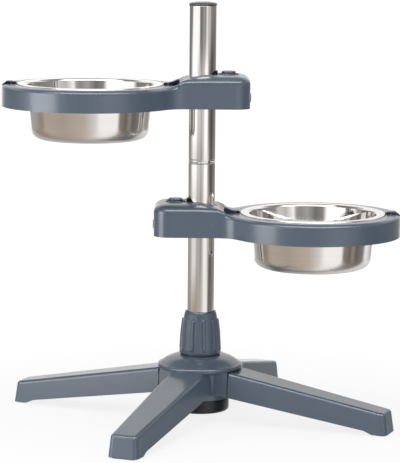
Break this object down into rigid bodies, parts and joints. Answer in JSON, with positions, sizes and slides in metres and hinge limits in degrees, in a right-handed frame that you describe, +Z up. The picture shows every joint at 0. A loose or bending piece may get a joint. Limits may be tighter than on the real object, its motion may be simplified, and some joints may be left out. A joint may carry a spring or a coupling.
{
  "type": "elevated pet feeder",
  "caption": "Free-standing pet feeder: a steel pole on a splayed base carries height-adjustable swivelling ring arms, each with a push-button lock and a lift-out steel bowl.",
  "frame": {"origin": "the pole's axis at floor level, midway between the tips of the splayed legs", "axes": "+Z up along the pole; +X towards the lower bowl at rest, so the upper bowl points along -X"},
  "size_m": [0.438, 0.4216, 0.4602],
  "materials": {
    "blue_plastic": "satin moulded",
    "navy_plastic": "satin moulded",
    "black_plastic": "satin moulded",
    "white_nylon": "natural nylon",
    "cap_plastic": "fine matte",
    "pole_steel": "polished tube with fine drawn lines",
    "bowl_steel": "polished stainless",
    "zinc_steel": "zinc plated",
    "spring_steel": "bright wire",
    "rubber": "moulded rubber"
  },
  "bodies": {
    "stand": {"base_hub": "blue_plastic", "leg_right": "blue_plastic", "leg_left": "blue_plastic", "leg_screws": "zinc_steel", "foot_pads": "rubber", "base_cap": "black_plastic", "base_bolt": "zinc_steel", "pole_collet": "white_nylon", "pole_plug": "zinc_steel", "pole_lower_tube": "pole_steel", "pole_upper_tube": "pole_steel", "pole_joiner": "zinc_steel", "pole_cap": "cap_plastic"},
    "collar": {"lock_collar": "blue_plastic"},
    "upper_carriage": {"upper_liner_top": "white_nylon", "upper_liner_bottom": "white_nylon"},
    "upper_arm": {"upper_arm": "blue_plastic", "upper_guide_bush": "black_plastic", "upper_arm_cover": "black_plastic", "upper_cover_screws": "zinc_steel", "upper_end_screw": "zinc_steel", "upper_plate_pin": "zinc_steel", "upper_plate_spring": "spring_steel", "upper_stop_far": "navy_plastic", "upper_stop_neck": "navy_plastic", "upper_stop_noses": "rubber"},
    "upper_button": {"upper_release_button": "blue_plastic"},
    "upper_plate": {"upper_lock_plate": "zinc_steel"},
    "upper_bowl": {"upper_bowl": "bowl_steel"},
    "lower_carriage": {"lower_liner_top": "white_nylon", "lower_liner_bottom": "white_nylon"},
    "lower_arm": {"lower_arm": "blue_plastic", "lower_guide_bush": "black_plastic", "lower_arm_cover": "black_plastic", "lower_cover_screws": "zinc_steel", "lower_end_screw": "zinc_steel", "lower_plate_pin": "zinc_steel", "lower_plate_spring": "spring_steel", "lower_stop_far": "navy_plastic", "lower_stop_neck": "navy_plastic", "lower_stop_noses": "rubber"},
    "lower_button": {"lower_release_button": "blue_plastic"},
    "lower_plate": {"lower_lock_plate": "zinc_steel"},
    "lower_bowl": {"lower_bowl": "bowl_steel"}
  },
  "joints": [
    {"name": "collar_turn", "type": "hinge", "parent": "stand", "child": "collar", "pos_m": [0, 0, 0.0722], "axis": [0, 0, 1], "range_deg": [0, 120]},
    {"name": "upper_height", "type": "slide", "parent": "stand", "child": "upper_carriage", "axis": [0, 0, 1], "range_m": [-0.04, 0.07]},
    {"name": "upper_swivel", "type": "hinge", "parent": "upper_carriage", "child": "upper_arm", "pos_m": [0, 0, 0.346], "axis": [0, 0, 1], "continuous": true},
    {"name": "upper_button_press", "type": "slide", "parent": "upper_arm", "child": "upper_button", "axis": [0, 0, -1], "range_m": [0, 0.003], "stiffness_N_per_m": 800, "springref_m": -0.001},
    {"name": "upper_plate_tilt", "type": "hinge", "parent": "upper_arm", "child": "upper_plate", "pos_m": [-0.021, 0, 0.3575], "axis": [0, 1, 0], "range_deg": [0, 3.5], "deforming": ["upper_plate_spring"]},
    {"name": "upper_bowl_lift", "type": "slide", "parent": "upper_arm", "child": "upper_bowl", "axis": [0, 0, 1], "range_m": [0, 0.07]},
    {"name": "lower_height", "type": "slide", "parent": "stand", "child": "lower_carriage", "axis": [0, 0, 1], "range_m": [-0.08, 0.04]},
    {"name": "lower_swivel", "type": "hinge", "parent": "lower_carriage", "child": "lower_arm", "pos_m": [0, 0, 0.206], "axis": [0, 0, 1], "continuous": true},
    {"name": "lower_button_press", "type": "slide", "parent": "lower_arm", "child": "lower_button", "axis": [0, 0, -1], "range_m": [0, 0.003], "stiffness_N_per_m": 800, "springref_m": -0.001},
    {"name": "lower_plate_tilt", "type": "hinge", "parent": "lower_arm", "child": "lower_plate", "pos_m": [0.021, 0, 0.2175], "axis": [0, -1, 0], "range_deg": [0, 3.5], "deforming": ["lower_plate_spring"]},
    {"name": "lower_bowl_lift", "type": "slide", "parent": "lower_arm", "child": "lower_bowl", "axis": [0, 0, 1], "range_m": [0, 0.07]}
  ],
  "couplings": [
    {"joint": "upper_plate_tilt", "follows": "upper_button_press", "rad_per_m": 20.214},
    {"joint": "lower_plate_tilt", "follows": "lower_button_press", "rad_per_m": 20.214}
  ]
}
